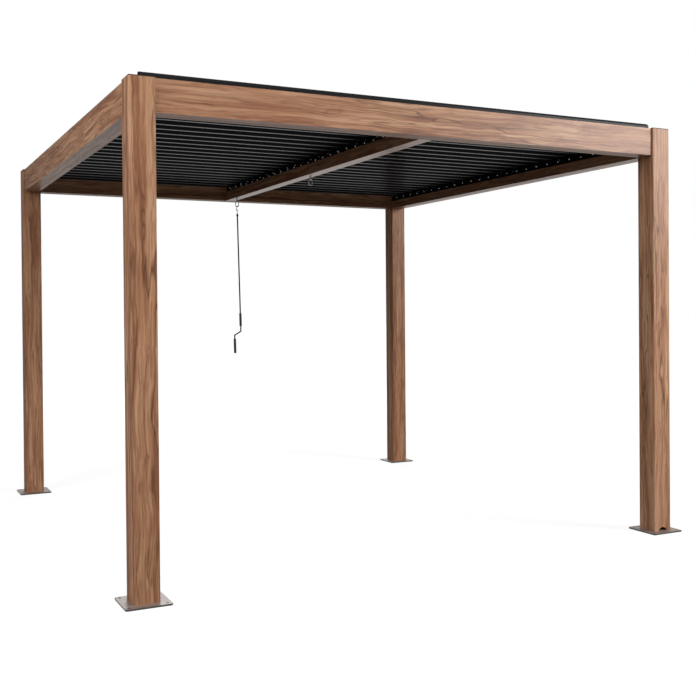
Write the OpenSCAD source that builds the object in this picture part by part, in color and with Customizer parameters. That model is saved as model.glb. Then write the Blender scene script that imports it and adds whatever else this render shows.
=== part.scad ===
// Louvred pergola: four posts, a beam frame with a centre beam, two banks of
// tilting blades and a hanging crank. Millimetres, +Z up, front is -Y.
// Origin: centre of the base, on the ground.

/* [Frame] */
// Overall width across the posts
frame_w = 3050; // [2400:10:4000]
// Overall depth across the posts
frame_d = 3050; // [2400:10:4000]
// Height of the post tops
frame_h = 2250; // [1900:10:2800]

/* [Posts] */
// Side of the square post tube
post_s = 118; // [90:1:160]
// Wall of the post tube
post_wall = 3; // [2:0.5:6]
// Corner radius of the post tube
post_r = 5; // [2:0.5:10]
// Width of the drain arch at the foot
arch_w = 60; // [40:1:70]
// Height of the drain arch
arch_h = 20; // [12:1:28]

/* [Base plates] */
// Side of the square base plate
plate_s = 206; // [160:1:260]
// Thickness of the base plate
plate_t = 8; // [5:0.5:12]
// Corner radius of the base plate
plate_r = 10; // [3:0.5:20]
// Anchor hole diameter
anchor_d = 12; // [8:0.5:16]
// Anchor hole centre, in from each plate edge
anchor_in = 20; // [16:1:30]

/* [Beams] */
// Height of the outer beams
beam_h = 148; // [110:1:200]
// Thickness of the outer beams
beam_t = 96; // [70:1:110]
// Step of the beam face back from the post face
beam_back = 11; // [4:1:20]
// Wall of the beam section
beam_wall = 3; // [2:0.5:5]
// Height of the ledge inside the frame above the beam underside
ledge_h = 30; // [18:1:45]
// Depth of that ledge
ledge_in = 4; // [3:0.5:8]
// Width of the centre beam
mid_w = 72; // [56:1:100]
// Height of the centre beam
mid_h = 67; // [50:1:90]

/* [Rails] */
// Thickness of the side pivot rails
rail_t = 18; // [14:1:26]
// Width of the centre pivot rail
mid_rail_w = 60; // [40:1:72]
// Height of the pivot rails
rail_h = 46; // [36:1:60]

/* [Blades] */
// Thickness of a blade
blade_t = 24; // [16:1:32]
// Share of the blade pitch taken by the hollow body
body_share = 0.71; // [0.6:0.005:0.74]
// Share of the blade pitch taken by each rain lip
lip_share = 0.215; // [0.15:0.005:0.22]
// Thickness of lips and blade walls
skin = 2; // [1.5:0.5:4]
// Pivot pin diameter
pin_d = 8; // [5:0.5:10]
// Gap between blade end and rail
end_gap = 10; // [6:1:16]

/* [Crank] */
// Diameter of the crank rod
rod_d = 10; // [8:0.5:14]
// Length of the straight rod above its sleeve
rod_len = 745; // [500:5:1000]
// Sideways offset of the handle
crank_off = 50; // [35:1:80]
// Lean of the hanging rod, degrees
crank_lean = 1.3; // [0:0.1:4]

/* [Cap strips] */
// Height of the strip above the beam top
cap_h = 42; // [25:1:60]
// Depth of the cap strip
cap_t = 30; // [20:1:40]

/* [Hidden] */
$fn = 48;

wood = [0.62, 0.46, 0.36];
dark = [0.10, 0.10, 0.11];
steel = [0.75, 0.76, 0.78];

hw = frame_w / 2;
hd = frame_d / 2;
bt = min(beam_t, post_s - beam_back - 4);
// outer face of the beams and their inner face, from the centre
in_x = hw - beam_back - bt;
in_y = hd - beam_back - bt;
out_x = hw - beam_back;
out_y = hd - beam_back;
beam_z = frame_h - beam_h;
mid_top = beam_z + mid_h;
span_x = frame_w - 2 * post_s;
span_y = frame_d - 2 * post_s;

// blades: one node for each row, the left and right blade on one axis
blade_n = 23;
wall_gap = 8;
pitch = (2 * in_y - 2 * wall_gap) / (blade_n - 1 + body_share + 2 * lip_share);
blade_body = body_share * pitch;
lip = lip_share * pitch;
reach = blade_body / 2 + lip;
pivot_up = 19;
pivot_z = mid_top + pivot_up;
under_up = 12;
rail_face = in_x - rail_t + ledge_in;
rail_y = min(in_y, hd - post_s) - 0.5;
blade_out = rail_face - end_gap;
blade_in = max(mid_w, mid_rail_w) / 2 + 6;
mid_gap = blade_in - mid_rail_w / 2;
pin_in = 10;
pin_play = 0.3;
ear_d = 20;
ear_t = 4;

// crank
eye_y = in_y - 138;
spare_y = -40;
eye_wire = 6;
eye_r = 12;
eye_long = 14;
eye_drop = 40;
hook_r = 18;
hook_wire = 5;
hook_stem = 25;

// square with round corners, centred
module round_square(s, r) {
  square([s, s - 2 * r], center = true);
  square([s - 2 * r, s], center = true);
  for (sx = [-1, 1])
    for (sy = [-1, 1])
      translate([sx * (s / 2 - r), sy * (s / 2 - r)]) circle(r = r);
}

// ---- posts ----
module tube_post(arch) {
  difference() {
    translate([0, 0, plate_t])
      linear_extrude(height = frame_h - plate_t) round_square(post_s, post_r);
    translate([-post_s / 2 + post_wall, -post_s / 2 + post_wall, plate_t - 1])
      cube([post_s - 2 * post_wall, post_s - 2 * post_wall, frame_h - plate_t - post_wall + 1]);
    if (arch != 0)
      arch_cut(arch);
  }
}

// drain arch in the outer face, side = -1 front, 1 back
module arch_cut(side) {
  r = (arch_w * arch_w / 4 + arch_h * arch_h) / (2 * arch_h);
  translate([0, side * (post_s / 2 - post_wall / 2), plate_t + arch_h - r])
    rotate([90, 0, 0])
      cylinder(h = post_wall + 4, r = r, center = true);
}

module base_plate() {
  difference() {
    linear_extrude(height = plate_t) round_square(plate_s, plate_r);
    for (sx = [-1, 1])
      for (sy = [-1, 1])
        translate([sx * (plate_s / 2 - anchor_in), sy * (plate_s / 2 - anchor_in), -1])
          cylinder(h = plate_t + 2, d = anchor_d);
  }
}

px = hw - post_s / 2;
py = hd - post_s / 2;

module post_front_left() color(wood) translate([-px, -py, 0]) tube_post(0);
module post_front_right() color(wood) translate([px, -py, 0]) tube_post(-1);
module post_back_left() color(wood) translate([-px, py, 0]) tube_post(1);
module post_back_right() color(wood) translate([px, py, 0]) tube_post(0);
module plate_front_left() color(wood) translate([-px, -py, 0]) base_plate();
module plate_front_right() color(wood) translate([px, -py, 0]) base_plate();
module plate_back_left() color(wood) translate([-px, py, 0]) base_plate();
module plate_back_right() color(wood) translate([px, py, 0]) base_plate();

// ---- beams ----
// section of an outer beam: x = 0 at the outer face, growing into the frame
module beam_section() {
  difference() {
    polygon([
      [0, 0], [bt * 0.62 - 2, 0], [bt * 0.62, 1.5], [bt * 0.62 + 2, 0],
      [bt, 0], [bt, ledge_h], [bt - ledge_in, ledge_h + 2],
      [bt - ledge_in, beam_h], [0, beam_h]
    ]);
    translate([beam_wall, beam_wall + 1.5])
      square([bt - ledge_in - 2 * beam_wall, beam_h - 2 * beam_wall - 1.5]);
  }
}

// length along +Y, centred
module beam_run(len) {
  translate([0, len / 2, 0])
    rotate([90, 0, 0])
      linear_extrude(height = len) beam_section();
}

module beam_left() color(wood) translate([-out_x, 0, beam_z]) beam_run(span_y);
module beam_right() color(wood) translate([out_x, 0, beam_z]) rotate([0, 0, 180]) beam_run(span_y);
module beam_front() color(wood) translate([0, -out_y, beam_z]) rotate([0, 0, 90]) beam_run(span_x);
module beam_back_() color(wood) translate([0, out_y, beam_z]) rotate([0, 0, -90]) beam_run(span_x);

module beam_centre() color(wood) {
  difference() {
    translate([-mid_w / 2, -in_y, beam_z])
      cube([mid_w, 2 * in_y, mid_h]);
    translate([-mid_w / 2 + beam_wall, -in_y - 1, beam_z + beam_wall])
      cube([mid_w - 2 * beam_wall, 2 * in_y + 2, mid_h - 2 * beam_wall]);
    for (y = [eye_y, spare_y])
      translate([0, y, beam_z - 1])
        cylinder(h = beam_wall + 2, d = eye_wire + 4 + 2 * pin_play);
  }
}

// ---- pivot rails ----
function blade_y(i) = -in_y + reach + wall_gap + (i - 1) * pitch;

module rail_bores(x, t) {
  for (i = [1 : blade_n])
    translate([x, blade_y(i), pivot_z])
      rotate([0, 90, 0])
        cylinder(h = t + 2, d = pin_d + 2 * pin_play, center = true);
}

module side_rail(side) color(dark) {
  mx = side * (rail_face + rail_t / 2);
  difference() {
    translate([mx - rail_t / 2, -rail_y, mid_top - 6])
      cube([rail_t, 2 * rail_y, rail_h + 6]);
    rail_bores(mx, rail_t);
  }
}

module rail_left() side_rail(-1);
module rail_right() side_rail(1);
module rail_centre() color(dark) {
  difference() {
    translate([-mid_rail_w / 2, -in_y, mid_top])
      cube([mid_rail_w, 2 * in_y, rail_h]);
    rail_bores(0, mid_rail_w);
  }
}

// ---- cap strips on the front and back beams ----
module cap_strip(sx, sy) color(dark) {
  c = 12;
  x0 = 0.5;
  x1 = hw - 69;
  y0 = in_y - 6;
  translate([sx > 0 ? x0 : -x1, 0, 0])
    rotate([90, 0, 90])
      linear_extrude(height = x1 - x0)
        difference() {
          polygon([
            [sy * y0, frame_h], [sy * (y0 + cap_t), frame_h],
            [sy * (y0 + cap_t), frame_h + cap_h - c], [sy * (y0 + cap_t - c), frame_h + cap_h],
            [sy * y0, frame_h + cap_h]
          ]);
          polygon([
            [sy * (y0 + 2.5), frame_h + 2.5], [sy * (y0 + cap_t - 2.5), frame_h + 2.5],
            [sy * (y0 + cap_t - 2.5), frame_h + cap_h - c - 1],
            [sy * (y0 + cap_t - c - 1), frame_h + cap_h - 2.5],
            [sy * (y0 + 2.5), frame_h + cap_h - 2.5]
          ]);
        }
}

module cap_front_left() cap_strip(-1, -1);
module cap_front_right() cap_strip(1, -1);
module cap_back_left() cap_strip(-1, 1);
module cap_back_right() cap_strip(1, 1);

// ---- blades ----
// section: x = front to back from the pivot, y = up from the pivot
module blade_section() {
  b = blade_body / 2;
  u = under_up;
  difference() {
    union() {
      translate([-b, u]) square([2 * b, blade_t]);
      translate([-b - lip, u + blade_t - skin]) square([lip + 1, skin]);
      translate([-b - lip, u + blade_t - skin - 4]) square([skin, 5]);
      translate([b - 1, u]) square([lip + 1, skin]);
      translate([b + lip - skin, u]) square([skin, skin + 4]);
    }
    translate([-b + skin, u + skin]) square([2 * b - 2 * skin, blade_t - 2 * skin]);
  }
}

// end plate with the pivot ear
module ear_section() {
  translate([-blade_body / 2, under_up]) square([blade_body, blade_t]);
  translate([-ear_d / 2, 0]) square([ear_d, under_up + 1]);
  circle(d = ear_d);
}

// g0, g1: gap from each end to the rail that holds its pin
module one_blade(x0, x1, g0, g1) {
  translate([x0, 0, 0]) rotate([90, 0, 90]) linear_extrude(height = x1 - x0) blade_section();
  translate([x0, 0, 0]) rotate([90, 0, 90]) linear_extrude(height = ear_t) ear_section();
  translate([x1 - ear_t, 0, 0]) rotate([90, 0, 90]) linear_extrude(height = ear_t) ear_section();
  translate([x0 - g0 - pin_in, 0, 0]) rotate([0, 90, 0])
    cylinder(h = g0 + pin_in + 1, d = pin_d);
  translate([x1 - 1, 0, 0]) rotate([0, 90, 0])
    cylinder(h = g1 + pin_in + 1, d = pin_d);
}

module blade_row(i) color(dark)
  translate([0, blade_y(i), pivot_z]) {
    one_blade(-blade_out, -blade_in, end_gap, mid_gap);
    one_blade(blade_in, blade_out, mid_gap, end_gap);
  }

// ---- crank ----
module eye_ring(y) color(steel) translate([0, y, 0]) {
  // shank through the beam wall, collar inside, long ring below
  shank = eye_drop - eye_long / 2 - eye_r - 1;
  translate([0, 0, beam_z - shank]) cylinder(h = shank + beam_wall + 1, d = eye_wire + 4);
  translate([0, 0, beam_z + beam_wall + 1]) cylinder(h = 4, d = eye_wire + 12);
  translate([0, 0, beam_z - eye_drop])
    rotate([90, 0, 0]) {
      for (t = [0, 180])
        rotate([0, 0, t]) translate([0, eye_long / 2, 0])
          rotate_extrude(angle = 180) translate([eye_r, 0]) circle(d = eye_wire);
      for (x = [-eye_r, eye_r])
        translate([x, eye_long / 2, 0]) rotate([90, 0, 0]) cylinder(h = eye_long, d = eye_wire);
    }
}

module crank_eye() eye_ring(eye_y);
module spare_eye() eye_ring(spare_y);

ring_low = beam_z - eye_drop - eye_long / 2 - eye_r;
hook_z = ring_low + eye_wire / 2 + hook_wire / 2 + 0.2 - hook_r;
rod_top = hook_z - hook_r - hook_stem;

// everything below hangs from the ring and leans a little
module hang() translate([0, eye_y, hook_z]) rotate([0, -crank_lean, 0])
  translate([0, 0, -hook_z]) children();

module crank_hook() color(steel) hang() {
  translate([0, 0, hook_z])
    rotate([0, 90, 0])
      rotate([0, 0, -60])
        rotate_extrude(angle = 300) translate([hook_r, 0]) circle(d = hook_wire);
  translate([0, 0, rod_top - 12]) cylinder(h = 12 + hook_stem + 1, d = hook_wire);
}

module crank_rod() color(dark) hang() {
  h1 = rod_top - rod_len;
  b1 = h1 - 135;
  b2 = h1 - 163;
  difference() {
    union() {
      translate([0, 0, b1]) cylinder(h = rod_len + 135, d = rod_d);
      translate([0, 0, rod_top - 16]) cylinder(h = 16, d = rod_d + 5);
      translate([0, 0, b1]) sphere(d = rod_d + 0.6);
      translate([-crank_off, 0, b2]) sphere(d = rod_d + 0.6);
      translate([-crank_off, 0, b2]) rotate([0, atan2(crank_off, b1 - b2), 0])
        cylinder(h = sqrt(crank_off * crank_off + (b1 - b2) * (b1 - b2)), d = rod_d);
      translate([-crank_off, 0, h1 - 285]) cylinder(h = 122, d = rod_d);
    }
    translate([0, 0, rod_top - 12.2]) cylinder(h = 13, d = hook_wire + 0.2);
  }
}

module crank_sleeve() color(dark) hang() {
  h1 = rod_top - rod_len;
  difference() {
    translate([0, 0, h1 - 96]) cylinder(h = 96, d = rod_d + 8);
    translate([0, 0, h1 - 97]) cylinder(h = 98, d = rod_d + 0.4);
  }
}

module crank_grip() color(dark) hang() {
  h1 = rod_top - rod_len;
  difference() {
    union() {
      translate([-crank_off, 0, h1 - 290]) cylinder(h = 100, d = rod_d + 9);
      translate([-crank_off, 0, h1 - 290]) sphere(d = rod_d + 9);
    }
    translate([-crank_off, 0, h1 - 285.2]) cylinder(h = 96, d = rod_d + 0.4);
  }
}

post_front_left();
post_front_right();
post_back_left();
post_back_right();
plate_front_left();
plate_front_right();
plate_back_left();
plate_back_right();
beam_front();
beam_back_();  // beam_back
beam_left();
beam_right();
beam_centre();
rail_left();
rail_right();
rail_centre();
cap_front_left();
cap_front_right();
cap_back_left();
cap_back_right();
blade_row(1);  // blade_01
blade_row(2);  // blade_02
blade_row(3);  // blade_03
blade_row(4);  // blade_04
blade_row(5);  // blade_05
blade_row(6);  // blade_06
blade_row(7);  // blade_07
blade_row(8);  // blade_08
blade_row(9);  // blade_09
blade_row(10);  // blade_10
blade_row(11);  // blade_11
blade_row(12);  // blade_12
blade_row(13);  // blade_13
blade_row(14);  // blade_14
blade_row(15);  // blade_15
blade_row(16);  // blade_16
blade_row(17);  // blade_17
blade_row(18);  // blade_18
blade_row(19);  // blade_19
blade_row(20);  // blade_20
blade_row(21);  // blade_21
blade_row(22);  // blade_22
blade_row(23);  // blade_23
crank_eye();
crank_hook();
crank_rod();
crank_sleeve();
crank_grip();
spare_eye();
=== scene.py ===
# %% [markdown]
# Louvered pergola. The posts, beams, rails, blades and crank come in as finished
# solids. This lesson gives them their coatings, adds the small fittings that a
# solid modeller leaves out, and sets a plain pale studio round them.

import math
import bpy
from mathutils import Matrix, Vector


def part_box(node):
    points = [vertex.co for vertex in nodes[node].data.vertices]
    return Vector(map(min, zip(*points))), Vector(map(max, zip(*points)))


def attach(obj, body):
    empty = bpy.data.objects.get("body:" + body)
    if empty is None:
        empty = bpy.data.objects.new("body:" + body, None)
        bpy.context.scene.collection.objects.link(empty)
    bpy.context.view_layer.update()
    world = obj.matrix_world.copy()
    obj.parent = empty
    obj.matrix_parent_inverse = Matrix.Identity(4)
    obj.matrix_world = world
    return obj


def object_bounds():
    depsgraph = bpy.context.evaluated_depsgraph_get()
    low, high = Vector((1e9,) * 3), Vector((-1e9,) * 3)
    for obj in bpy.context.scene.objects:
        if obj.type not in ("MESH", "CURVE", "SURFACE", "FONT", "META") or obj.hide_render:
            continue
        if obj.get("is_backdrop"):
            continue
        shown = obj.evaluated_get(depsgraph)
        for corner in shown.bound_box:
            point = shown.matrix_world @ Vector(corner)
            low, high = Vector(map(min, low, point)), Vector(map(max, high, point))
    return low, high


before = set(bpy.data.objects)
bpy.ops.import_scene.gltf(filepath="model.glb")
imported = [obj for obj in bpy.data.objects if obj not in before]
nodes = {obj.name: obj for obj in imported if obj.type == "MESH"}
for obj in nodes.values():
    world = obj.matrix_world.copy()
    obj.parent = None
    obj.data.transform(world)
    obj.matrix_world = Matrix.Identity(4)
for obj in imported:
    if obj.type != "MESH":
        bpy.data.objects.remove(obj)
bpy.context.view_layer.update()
rows = sorted(n for n in nodes if n.startswith("blade_"))
print("frame loaded:", len(nodes), "nodes,", len(rows), "blade rows")


# %% [markdown]
# Materials are built from nodes. One small helper adds a node and fills its
# sockets, so each recipe below reads as a short list of steps.

# %% Node helpers
def add_node(tree, kind, **values):
    node = tree.nodes.new(kind)
    for key, value in values.items():
        if hasattr(node, key) and key not in node.inputs:
            setattr(node, key, value)
        else:
            node.inputs[key].default_value = value
    return node


def join(tree, source, target):
    tree.links.new(source, target)


def blank_material(name):
    material = bpy.data.materials.new(name)
    material.use_nodes = True
    tree = material.node_tree
    return material, tree, tree.nodes["Principled BSDF"]


def ramp(tree, stops, interpolation="LINEAR"):
    node = tree.nodes.new("ShaderNodeValToRGB")
    node.color_ramp.interpolation = interpolation
    elements = node.color_ramp.elements
    while len(elements) > 1:
        elements.remove(elements[-1])
    elements[0].position, elements[0].color = stops[0][0], (*stops[0][1], 1)
    for place, colour in stops[1:]:
        element = elements.new(place)
        element.color = (*colour, 1)
    return node


def maths(tree, operation, first, second=None):
    node = tree.nodes.new("ShaderNodeMath")
    node.operation = operation
    for socket, value in ((0, first), (1, second)):
        if value is None:
            continue
        if isinstance(value, (int, float)):
            node.inputs[socket].default_value = value
        else:
            tree.links.new(value, node.inputs[socket])
    return node.outputs[0]


def mix_colour(tree, factor, first, second, blend="MIX"):
    node = tree.nodes.new("ShaderNodeMix")
    node.data_type = "RGBA"
    node.blend_type = blend
    for socket, value in ((0, factor), (6, first), (7, second)):
        if isinstance(value, (int, float)):
            node.inputs[socket].default_value = value
        elif isinstance(value, tuple):
            node.inputs[socket].default_value = (*value, 1)
        else:
            tree.links.new(value, node.inputs[socket])
    return node.outputs[2]


print("node helpers ready")


# %% [markdown]
# The posts and beams are aluminium tube with a printed timber film. Sawn timber
# of this kind shows long streaks of light and dark wood, thin dark veins that
# wander along the board, and very fine fibres. Each of the three is one noise,
# stretched along the length of the piece. The coordinates are first pushed
# sideways by a slow noise, which bends the streaks into gentle waves. The same
# recipe is turned to run along X, Y or Z.

# %% Timber film
TIMBER_BRIGHT = (0.50, 0.31, 0.19)
TIMBER_PALE = (0.43, 0.245, 0.140)
TIMBER_TAN = (0.315, 0.160, 0.083)
TIMBER_BROWN = (0.185, 0.080, 0.041)
TIMBER_VEIN = (0.075, 0.027, 0.014)
TIMBER_BLUSH = (0.24, 0.098, 0.054)


def timber_film(name, along, shift, under=0.5, sides=0.16):
    material, tree, skin = blank_material(name)
    coords = add_node(tree, "ShaderNodeTexCoord")

    def stretched(source, ratio):
        scale = [1.0, 1.0, 1.0]
        scale["XYZ".index(along)] = ratio
        place = add_node(tree, "ShaderNodeMapping")
        place.inputs["Scale"].default_value = scale
        place.inputs["Location"].default_value = shift
        join(tree, source, place.inputs["Vector"])
        return place.outputs[0]

    def noise(source, scale, detail=2.0, roughness=0.5):
        node = add_node(tree, "ShaderNodeTexNoise", Scale=scale, Detail=detail, Roughness=roughness)
        join(tree, source, node.inputs["Vector"])
        return node

    # waves: push the coordinates sideways
    push = noise(stretched(coords.outputs["Object"], 0.45), 4.0, 3.0, 0.55)
    sway = add_node(tree, "ShaderNodeVectorMath", operation="MULTIPLY_ADD")
    join(tree, push.outputs["Color"], sway.inputs[0])
    sway.inputs[1].default_value = (0.075, 0.075, 0.075)
    join(tree, coords.outputs["Object"], sway.inputs[2])
    bent = sway.outputs[0]
    broad = noise(stretched(bent, 0.035), 26.0, 2.0).outputs["Fac"]
    streak = noise(stretched(bent, 0.028), 85.0, 3.0, 0.6).outputs["Fac"]
    fibre = noise(stretched(coords.outputs["Object"], 0.014), 260.0, 3.0, 0.6).outputs["Fac"]
    blush = noise(stretched(bent, 0.25), 3.0, 2.0).outputs["Fac"]
    # veins: the thin line where a stretched noise crosses its middle
    line = noise(stretched(bent, 0.045), 21.0, 1.5).outputs["Fac"]
    off = maths(tree, "ABSOLUTE", maths(tree, "SUBTRACT", line, 0.5))
    vein = ramp(tree, [(0.0, (1, 1, 1)), (0.009, (0.55, 0.55, 0.55)), (0.026, (0, 0, 0))])
    join(tree, off, vein.inputs[0])
    fade = ramp(tree, [(0.38, (0.25, 0.25, 0.25)), (0.62, (1, 1, 1))])
    join(tree, blush, fade.inputs[0])
    # hair lines: the same idea, finer and fainter
    hair = noise(stretched(bent, 0.03), 52.0, 1.5).outputs["Fac"]
    hair_off = maths(tree, "ABSOLUTE", maths(tree, "SUBTRACT", hair, 0.48))
    hair_line = ramp(tree, [(0.0, (1, 1, 1)), (0.03, (0, 0, 0))])
    join(tree, hair_off, hair_line.inputs[0])

    level = maths(tree, "ADD", maths(tree, "MULTIPLY", broad, 1.0), maths(tree, "MULTIPLY", streak, 1.15))
    level = maths(tree, "ADD", level, maths(tree, "MULTIPLY", fibre, 0.45))
    level = maths(tree, "SUBTRACT", level, 0.83)
    colour = ramp(tree, [(0.26, TIMBER_BROWN), (0.45, TIMBER_TAN), (0.62, TIMBER_PALE), (0.80, TIMBER_BRIGHT)])
    join(tree, level, colour.inputs[0])
    redness = maths(tree, "MULTIPLY", maths(tree, "SUBTRACT", 1.0, blush), 0.55)
    red = mix_colour(tree, redness, colour.outputs["Color"], TIMBER_BLUSH)
    vein_depth = maths(tree, "MULTIPLY", vein.outputs["Color"], fade.outputs["Color"])
    veined = mix_colour(tree, maths(tree, "MULTIPLY", vein_depth, 0.85), red, TIMBER_VEIN)
    haired = mix_colour(tree, maths(tree, "MULTIPLY", hair_line.outputs["Color"], 0.38), veined, TIMBER_VEIN)
    join(tree, haired, skin.inputs["Base Color"])
    rough = ramp(tree, [(0.3, (0.46, 0.46, 0.46)), (0.7, (0.34, 0.34, 0.34))])
    join(tree, streak, rough.inputs[0])
    join(tree, rough.outputs["Color"], skin.inputs["Roughness"])
    # clear lacquer: thin on the sides, full on the undersides
    skin.inputs["Specular IOR Level"].default_value = 0.0
    facing = add_node(tree, "ShaderNodeSeparateXYZ")
    join(tree, coords.outputs["Normal"], facing.inputs[0])
    below = maths(tree, "LESS_THAN", facing.outputs["Z"], -0.7)
    lacquer = maths(tree, "ADD", maths(tree, "MULTIPLY", below, under - sides), sides)
    join(tree, lacquer, skin.inputs["Coat Weight"])
    skin.inputs["Coat Roughness"].default_value = 0.38
    bump = add_node(tree, "ShaderNodeBump", Strength=0.15, Distance=0.0005)
    join(tree, streak, bump.inputs["Height"])
    join(tree, bump.outputs[0], skin.inputs["Normal"])
    return material


# the front beam and the front right post carry more lacquer on their sides
THIN_LACQUER, POST_LACQUER, FRONT_LACQUER = 0.16, 0.3, 0.4
film_posts = []
for k in range(4):
    film_posts.append(timber_film("timber_post_%d" % k, "Z", (3.1 * k, 1.7 * k, 0.9 * k),
                                  sides=POST_LACQUER if k == 1 else THIN_LACQUER))
film_across = []
for k, sides in enumerate((FRONT_LACQUER, THIN_LACQUER)):
    film_across.append(timber_film("timber_beam_x_%d" % k, "X", (1.3 + k, 4.2 * k, 2.2), sides=sides))
film_deep = []
for k, under in enumerate((0.55, 0.8, 1.0)):
    film_deep.append(timber_film("timber_beam_y_%d" % k, "Y", (2.7 + k, 1.1 * k, 5.3), under))
print("timber film:", len(film_posts) + len(film_across) + len(film_deep), "materials")


# %% [markdown]
# The base plates carry a plainer, greyer coat. Every face that doesn't face up
# is painted near black: painted shade on the sides and underside of each plate.

# %% Plate coat
def plate_coat(name):
    material, tree, skin = blank_material(name)
    coords = add_node(tree, "ShaderNodeTexCoord")
    place = add_node(tree, "ShaderNodeMapping")
    place.inputs["Scale"].default_value = (0.12, 1.0, 1.0)
    join(tree, coords.outputs["Object"], place.inputs["Vector"])
    grain = add_node(tree, "ShaderNodeTexNoise", Scale=60.0, Detail=4.0, Roughness=0.6)
    join(tree, place.outputs[0], grain.inputs["Vector"])
    colour = ramp(tree, [(0.3, (0.17, 0.12, 0.10)), (0.7, (0.27, 0.205, 0.175))])
    join(tree, grain.outputs["Fac"], colour.inputs[0])
    facing = add_node(tree, "ShaderNodeSeparateXYZ")
    join(tree, coords.outputs["Normal"], facing.inputs[0])
    top = maths(tree, "GREATER_THAN", facing.outputs["Z"], 0.5)
    # painted shade: every face that doesn't face up is near black
    out = mix_colour(tree, top, (0.035, 0.03, 0.028), colour.outputs["Color"])
    join(tree, out, skin.inputs["Base Color"])
    skin.inputs["Roughness"].default_value = 0.42
    bump = add_node(tree, "ShaderNodeBump", Strength=0.1, Distance=0.0005)
    join(tree, grain.outputs["Fac"], bump.inputs["Height"])
    join(tree, bump.outputs[0], skin.inputs["Normal"])
    return material


film_plate = plate_coat("plate_coat")


# %% [markdown]
# The blades are powder coated black. Powder coat is never quite flat: it has a
# fine orange-peel skin, so a small bump breaks up the reflections. The pivot
# pins that stick out of the blade ends are bright steel; they are the only part
# of a blade that lies beyond its end plates.

# %% Blade black, with bright pins
def blade_black(name, pin_zones):
    material, tree, skin = blank_material(name)
    coords = add_node(tree, "ShaderNodeTexCoord")
    peel = add_node(tree, "ShaderNodeTexNoise", Scale=420.0, Detail=2.0, Roughness=0.5)
    join(tree, coords.outputs["Object"], peel.inputs["Vector"])
    dust = add_node(tree, "ShaderNodeTexNoise", Scale=5.0, Detail=5.0, Roughness=0.6)
    join(tree, coords.outputs["Object"], dust.inputs["Vector"])
    axes = add_node(tree, "ShaderNodeSeparateXYZ")
    join(tree, coords.outputs["Object"], axes.inputs[0])
    across = maths(tree, "ABSOLUTE", axes.outputs["X"])
    inner, outer = pin_zones
    inner_pin = maths(tree, "LESS_THAN", across, inner)
    outer_pin = maths(tree, "GREATER_THAN", across, outer)
    pin = maths(tree, "MAXIMUM", inner_pin, outer_pin)
    coat = mix_colour(tree, dust.outputs["Fac"], (0.005, 0.005, 0.006), (0.011, 0.011, 0.013))
    join(tree, mix_colour(tree, pin, coat, (0.72, 0.72, 0.74)), skin.inputs["Base Color"])
    join(tree, pin, skin.inputs["Metallic"])
    join(tree, maths(tree, "SUBTRACT", 0.62, maths(tree, "MULTIPLY", pin, 0.3)), skin.inputs["Roughness"])
    skin.inputs["Specular IOR Level"].default_value = 0.0
    skin.inputs["Coat Weight"].default_value = 0.012
    skin.inputs["Coat Roughness"].default_value = 0.3
    bump = add_node(tree, "ShaderNodeBump", Strength=0.06, Distance=0.0004)
    join(tree, peel.outputs["Fac"], bump.inputs["Height"])
    join(tree, bump.outputs[0], skin.inputs["Normal"])
    return material


BLADE_END_IN = 0.042
BLADE_END_OUT = 1.394
film_blade = blade_black("blade_black", (BLADE_END_IN - 0.0005, BLADE_END_OUT + 0.0005))


print("blade finish ready")

# %% [markdown]
# The remaining finishes share one recipe: a base colour clouded by a broad
# noise, a roughness that follows the same clouds, and a fine bump. Black
# paint, zinc, darker forged steel and grip rubber differ only in numbers.

# %% Other finishes
def coat(name, colour, roughness, metallic=0.0, specular=0.5, lacquer=0.0, grain=300.0, depth=0.1):
    spread = 0.25
    material, tree, skin = blank_material(name)
    coords = add_node(tree, "ShaderNodeTexCoord")
    noise = add_node(tree, "ShaderNodeTexNoise", Scale=grain, Detail=3.0, Roughness=0.55)
    join(tree, coords.outputs["Object"], noise.inputs["Vector"])
    cloud = add_node(tree, "ShaderNodeTexNoise", Scale=14.0, Detail=4.0, Roughness=0.6)
    join(tree, coords.outputs["Object"], cloud.inputs["Vector"])
    dark = tuple(c * (1 - spread) for c in colour)
    light = tuple(min(1.0, c * (1 + spread)) for c in colour)
    join(tree, mix_colour(tree, cloud.outputs["Fac"], dark, light), skin.inputs["Base Color"])
    spreadr = ramp(tree, [(0.3, (roughness * 0.85,) * 3), (0.7, (min(1.0, roughness * 1.15),) * 3)])
    join(tree, cloud.outputs["Fac"], spreadr.inputs[0])
    join(tree, spreadr.outputs["Color"], skin.inputs["Roughness"])
    skin.inputs["Metallic"].default_value = metallic
    skin.inputs["Specular IOR Level"].default_value = specular
    skin.inputs["Coat Weight"].default_value = lacquer
    skin.inputs["Coat Roughness"].default_value = 0.3
    bump = add_node(tree, "ShaderNodeBump", Strength=depth, Distance=0.0005)
    join(tree, noise.outputs["Fac"], bump.inputs["Height"])
    join(tree, bump.outputs[0], skin.inputs["Normal"])
    return material


satin_black = coat("satin_black", (0.010, 0.010, 0.011), 0.45, specular=0.0, lacquer=0.12)
rail_black = coat("rail_black", (0.005, 0.005, 0.005), 0.6, specular=0.0, lacquer=0.03)
lip_gloss = coat("lip_gloss", (0.016, 0.016, 0.018), 0.5, specular=0.0, lacquer=0.75, depth=0.01)
steel_dark = coat("steel_dark", (0.26, 0.26, 0.27), 0.38, metallic=1.0, grain=900.0)
zinc = coat("zinc_plate", (0.62, 0.63, 0.64), 0.3, metallic=1.0, grain=900.0)
grip_rubber = coat("grip_rubber", (0.014, 0.014, 0.015), 0.62, specular=0.3, grain=1200.0, depth=0.3)
trim_dark = coat("trim_dark", (0.035, 0.026, 0.02), 0.45, specular=0.0, lacquer=0.08)


print("seven more finishes ready")

# %% [markdown]
# Now every solid of the frame gets its finish. Each post and beam has its own
# stretch of film, so that no two show the same figure.

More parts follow.
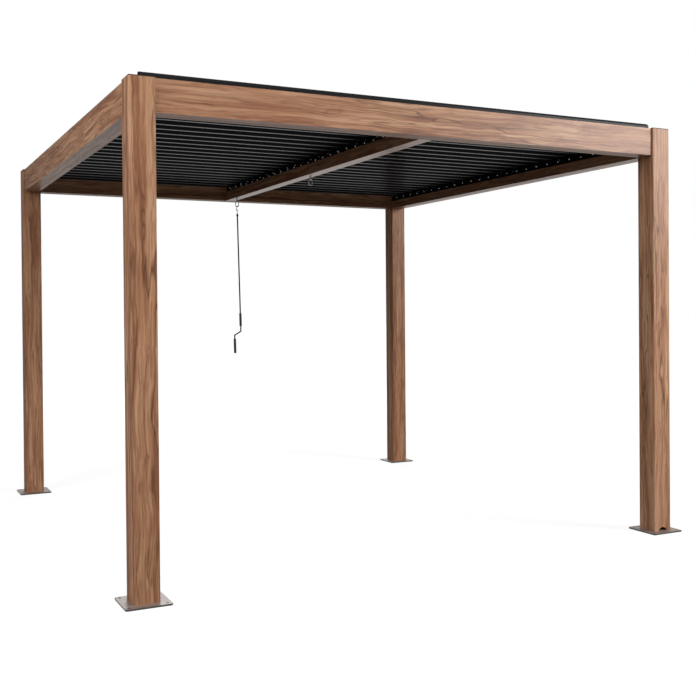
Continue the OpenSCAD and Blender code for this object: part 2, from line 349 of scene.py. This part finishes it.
# %% Dress the frame's own nodes
def dress(name, material):
    data = nodes[name].data
    data.materials.clear()
    data.materials.append(material)


for k, place in enumerate(("front_left", "front_right", "back_left", "back_right")):
    dress("post_" + place, film_posts[k])
    dress("plate_" + place, film_plate)
dress("beam_front", film_across[0])
dress("beam_back", film_across[1])
dress("beam_left", film_deep[0])
dress("beam_right", film_deep[1])
dress("beam_centre", film_deep[2])
for name in ("rail_left", "rail_right", "rail_centre"):
    dress(name, rail_black)
for name in ("cap_front_left", "cap_front_right", "cap_back_left", "cap_back_right"):
    dress(name, satin_black)
for name in rows:
    dress(name, film_blade)
for name in ("crank_eye", "crank_hook", "spare_eye"):
    dress(name, steel_dark)
dress("crank_rod", satin_black)
dress("crank_sleeve", grip_rubber)
dress("crank_grip", grip_rubber)
print("dressed", len(nodes), "nodes")


# %% [markdown]
# Small fittings are modelled as by hand: a cube or cylinder is added at its
# size, its edges are bevelled in edit mode, and its place is then moved into
# the mesh so that the object sits at the origin.

# %% Modelling helpers
def start_clean():
    if bpy.context.object and bpy.context.object.mode != "OBJECT":
        bpy.ops.object.mode_set(mode="OBJECT")
    bpy.ops.object.select_all(action="DESELECT")


def settle(piece):
    start_clean()
    piece.select_set(True)
    bpy.context.view_layer.objects.active = piece
    bpy.ops.object.transform_apply(location=True, rotation=True, scale=True)
    return piece


def block(name, lowest, highest):
    start_clean()
    a, b = Vector(lowest), Vector(highest)
    bpy.ops.mesh.primitive_cube_add(size=1, location=(a + b) / 2)
    piece = bpy.context.object
    piece.name = name
    piece.scale = b - a
    return settle(piece)


def bevel_edges(piece, wanted, width, segments=2):
    start_clean()
    bpy.context.view_layer.objects.active = piece
    piece.select_set(True)
    bpy.ops.object.mode_set(mode="EDIT")
    bpy.ops.mesh.select_mode(type="EDGE")
    bpy.ops.mesh.select_all(action="DESELECT")
    bpy.ops.object.mode_set(mode="OBJECT")
    verts = piece.data.vertices
    for edge in piece.data.edges:
        a, b = (verts[i].co for i in edge.vertices)
        edge.select = wanted(a, b)
    bpy.ops.object.mode_set(mode="EDIT")
    bpy.ops.mesh.bevel(offset=width, segments=segments, profile=0.5)
    bpy.ops.object.mode_set(mode="OBJECT")
    return piece


def finish_piece(piece, body, material, angle=40):
    start_clean()
    piece.select_set(True)
    bpy.context.view_layer.objects.active = piece
    bpy.ops.object.shade_smooth_by_angle(angle=math.radians(angle))
    piece.data.materials.clear()
    piece.data.materials.append(material)
    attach(piece, body)
    return piece


def weld(name, pieces):
    start_clean()
    for piece in pieces:
        piece.select_set(True)
    bpy.context.view_layer.objects.active = pieces[0]
    if len(pieces) > 1:
        bpy.ops.object.join()
    joined = bpy.context.object
    joined.name = name
    return joined


def copy_moved(piece, name, step):
    twin = piece.copy()
    twin.data = piece.data.copy()
    twin.name = name
    twin.data.transform(Matrix.Translation(step))
    bpy.context.collection.objects.link(twin)
    return twin


print("modelling helpers ready")

# %% [markdown]
# Each blade has a drip edge under its rear lip. It is the one part of
# the closed roof that catches the light from below, so the ceiling shows one
# pale line for each blade. It is a narrow flat strip whose lower edges are
# rounded over.

# %% Drip edges
row_low, row_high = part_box(rows[0])
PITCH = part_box(rows[1])[0].y - row_low.y
STRIP_WIDE = 0.020
lip_back = row_high.y
under = row_low.z + 0.010 + 0.012
strips = []
for side in (-1, 1):
    x_near, x_far = sorted((side * (BLADE_END_IN + 0.006), side * (BLADE_END_OUT - 0.006)))
    strip = block("drip_edge", (x_near, lip_back - STRIP_WIDE, under - 0.0022),
                  (x_far, lip_back - 0.0005, under + 0.0005))
    floor_z = under - 0.002
    bevel_edges(strip, lambda a, b: max(a.z, b.z) < floor_z and abs(a.y - b.y) < 1e-6, 0.0019, 3)
    strips.append(strip)
first_drip = weld("drip_edge_01", strips)
drips = [first_drip]
for k in range(1, len(rows)):
    drips.append(copy_moved(first_drip, "drip_edge_%02d" % (k + 1), (0, k * PITCH, 0)))
for k, drip in enumerate(drips):
    finish_piece(drip, "row_%02d" % (k + 1), lip_gloss)
print("drip edges:", len(drips), "pitch", round(PITCH * 1000, 1), "mm")

# %% [markdown]
# The tops of the tubes are closed by thin dark covers. A post cover is a flat
# square with a soft edge, and each beam has a narrow cover along its top.

# %% Top covers
COVER_INSET = 0.0005
top_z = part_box("post_front_left")[1].z
for place in ("front_left", "front_right", "back_left", "back_right"):
    low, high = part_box("post_" + place)
    cover = block("post_cover_" + place, (low.x + COVER_INSET, low.y + COVER_INSET, top_z),
                  (high.x - COVER_INSET, high.y - COVER_INSET, top_z + 0.004))
    bevel_edges(cover, lambda a, b: min(a.z, b.z) > top_z + 0.003 or abs(a.z - b.z) > 0.003, 0.0015, 2)
    finish_piece(cover, "frame", trim_dark)
for name in ("left", "right"):
    low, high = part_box("beam_" + name)
    cover = block("beam_cover_" + name, (low.x, low.y, top_z), (high.x, high.y, top_z + 0.003))
    bevel_edges(cover, lambda a, b: min(a.z, b.z) > top_z + 0.002, 0.001, 1)
    finish_piece(cover, "frame", trim_dark)

print("top covers: 4 posts, 2 beams")

# %% [markdown]
# The rails that carry the pivot pins are held by a long row of zinc plated
# screws. A pan head is turned here as a short cylinder whose top edge is
# bevelled twice over. One head is modelled; the rest are copies, joined into
# one piece for each rail face.

# %% Rail screws
SCREW_PITCH = 0.1073
SCREW_FIRST = -1.363
SCREW_COUNT = 26
SCREW_Z = 0.0098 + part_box("rail_centre")[0].z


def screw_head(face_x, outward):
    start_clean()
    bpy.ops.mesh.primitive_cylinder_add(vertices=14, radius=0.0045, depth=0.005,
                                        location=(face_x + outward * 0.0025, SCREW_FIRST, SCREW_Z),
                                        rotation=(0, math.radians(90 * outward), 0))
    head = settle(bpy.context.object)
    tip = face_x + outward * 0.0045
    bevel_edges(head, lambda a, b: (a.x - tip) * outward > 0 and (b.x - tip) * outward > 0, 0.0016, 2)
    return head


def screw_row(name, face_x, outward):
    first = screw_head(face_x, outward)
    heads = [first]
    for k in range(1, SCREW_COUNT):
        heads.append(copy_moved(first, "screw", (0, k * SCREW_PITCH, 0)))
    return finish_piece(weld(name, heads), "frame", zinc)


rail_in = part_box("rail_centre")
rail_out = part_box("rail_right")
for name, face_x, outward in (("screws_centre_left", rail_in[0].x, -1),
                              ("screws_centre_right", rail_in[1].x, 1),
                              ("screws_right", rail_out[0].x, -1),
                              ("screws_left", -rail_out[0].x, 1)):
    screw_row(name, face_x, outward)
print("rail screws:", 4 * SCREW_COUNT)

# %% [markdown]
# A small zinc plate joins the crank's drive to the centre rail, right above the
# crank, and a matching one closes the corner of each outer rail. Each is a
# plate with its four corners rounded.

# %% Link plates
def link_plate(name, face_x, outward, y, z, long, tall):
    lowest = (min(face_x, face_x + outward * 0.004), y - long / 2, z - tall / 2)
    highest = (max(face_x, face_x + outward * 0.004), y + long / 2, z + tall / 2)
    plate = block(name, lowest, highest)
    bevel_edges(plate, lambda a, b: abs(a.x - b.x) > 0.001, tall * 0.45, 4)
    return finish_piece(plate, "frame", zinc)


link_plate("link_plate_crank", rail_in[0].x, -1, 1.279, 2.186, 0.036, 0.014)
link_plate("link_plate_right", rail_out[0].x, -1, 1.379, 2.204, 0.030, 0.012)
link_plate("link_plate_left", -rail_out[0].x, 1, 1.379, 2.204, 0.030, 0.012)


print("link plates: 3")

# %% [markdown]
# The studio: a pale floor, white behind, a key light at the right, a broad soft
# light in front, a small one near the left corner and one far behind. The
# floor is white to the eye and to reflections,
# but sends little light back up, so the inside of the frame stays deep.

# %% Studio
def studio_floor():
    start_clean()
    bpy.ops.mesh.primitive_plane_add(size=160, location=(0, 0, -0.0005))
    floor = bpy.context.object
    floor.name = "studio_floor"
    material = bpy.data.materials.new("studio_floor")
    material.use_nodes = True
    tree = material.node_tree
    tree.nodes.clear()
    out = tree.nodes.new("ShaderNodeOutputMaterial")
    path = tree.nodes.new("ShaderNodeLightPath")
    seen = maths(tree, "MAXIMUM", path.outputs["Is Camera Ray"], path.outputs["Is Glossy Ray"])
    bounce = add_node(tree, "ShaderNodeBsdfDiffuse", Color=(0.24, 0.24, 0.24, 1))
    matte = add_node(tree, "ShaderNodeBsdfDiffuse", Color=(0.22, 0.22, 0.22, 1))
    # far from the frame, where no lamp reaches, the floor glows a little more
    coords = add_node(tree, "ShaderNodeTexCoord")
    reach = add_node(tree, "ShaderNodeVectorMath", operation="LENGTH")
    join(tree, coords.outputs["Object"], reach.inputs[0])
    far = add_node(tree, "ShaderNodeMapRange")
    for socket, value in (("From Min", 3.5), ("From Max", 9.0), ("To Min", 0.865), ("To Max", 1.0)):
        far.inputs[socket].default_value = value
    join(tree, reach.outputs["Value"], far.inputs["Value"])
    glow = add_node(tree, "ShaderNodeEmission", Color=(1, 1, 1, 1))
    join(tree, far.outputs["Result"], glow.inputs["Strength"])
    blend = add_node(tree, "ShaderNodeAddShader")
    join(tree, matte.outputs[0], blend.inputs[0])
    join(tree, glow.outputs[0], blend.inputs[1])
    pick = tree.nodes.new("ShaderNodeMixShader")
    join(tree, seen, pick.inputs[0])
    join(tree, bounce.outputs[0], pick.inputs[1])
    join(tree, blend.outputs[0], pick.inputs[2])
    join(tree, pick.outputs[0], out.inputs[0])
    floor.data.materials.append(material)
    floor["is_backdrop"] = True
    return floor


studio_floor()

world = bpy.data.worlds.new("studio")
bpy.context.scene.world = world
world.use_nodes = True
tree = world.node_tree
sky = tree.nodes["Background"]
sky.inputs["Color"].default_value = (1, 1, 1, 1)
path = tree.nodes.new("ShaderNodeLightPath")
seen = maths(tree, "MAXIMUM", path.outputs["Is Camera Ray"], path.outputs["Is Glossy Ray"])
seen = maths(tree, "MAXIMUM", seen, path.outputs["Is Transmission Ray"])
join(tree, maths(tree, "ADD", maths(tree, "MULTIPLY", seen, 0.80), 0.20), sky.inputs["Strength"])


def soft_light(name, place, target, size, power):
    light = bpy.data.lights.new(name, "AREA")
    light.shape = "SQUARE"
    light.size = size
    light.energy = power
    lamp = bpy.data.objects.new(name, light)
    bpy.context.collection.objects.link(lamp)
    lamp.location = place
    lamp.rotation_mode = "QUATERNION"
    lamp.rotation_quaternion = (Vector(target) - Vector(place)).to_track_quat("-Z", "Y")
    return lamp


soft_light("key", (6.6, -7.2, 3.8), (1.2, -1.4, 1.7), 2.8, 740)
soft_light("front", (-2.5, -9.0, 4.6), (-0.5, -1.0, 1.5), 4.5, 240)
soft_light("side", (-5.2, -2.5, 3.2), (-1.5, -1.5, 1.8), 2.0, 150)
soft_light("back", (3.0, 9.0, 4.8), (0, 0, 1.4), 4.5, 300)

print("studio: floor, world and 4 soft lights")

# %% [markdown]
# The camera stands low at the front left corner, level with the middle of the
# posts, with a normal lens.

# %% Camera
CAMERA_PLACE = Vector((-2.5467, -5.5658, 1.2403))
YAW, PITCH_DOWN, ROLL = math.radians(26.1655), math.radians(0.5622), math.radians(-0.4658)
level = Vector((math.sin(YAW), math.cos(YAW), 0))
ahead = level * math.cos(PITCH_DOWN) - Vector((0, 0, math.sin(PITCH_DOWN)))
right = Vector((math.cos(YAW), -math.sin(YAW), 0))
up = right.cross(ahead)
right_turned = math.cos(ROLL) * right + math.sin(ROLL) * up
up_turned = -math.sin(ROLL) * right + math.cos(ROLL) * up
camera_data = bpy.data.cameras.new("camera")
camera_data.sensor_width = 36.0
camera_data.lens = 36.0 * 966.92 / 696
camera_data.shift_x = (348 - 335.70) / 696
camera_data.shift_y = (322.34 - 348) / 696
camera_data.clip_end = 200
camera = bpy.data.objects.new("camera", camera_data)
bpy.context.collection.objects.link(camera)
turn = Matrix((right_turned, up_turned, -ahead)).transposed().to_4x4()
camera.matrix_world = Matrix.Translation(CAMERA_PLACE) @ turn
bpy.context.scene.camera = camera
bpy.context.scene.view_settings.view_transform = "Standard"

print("camera lens", round(camera_data.lens, 2), "mm")

# %% [markdown]
# Last, the outer box of all visible pieces, the floor left out, is measured
# and printed.

low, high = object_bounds()
print("visual box", [round(v, 4) for v in (*low, *high)])
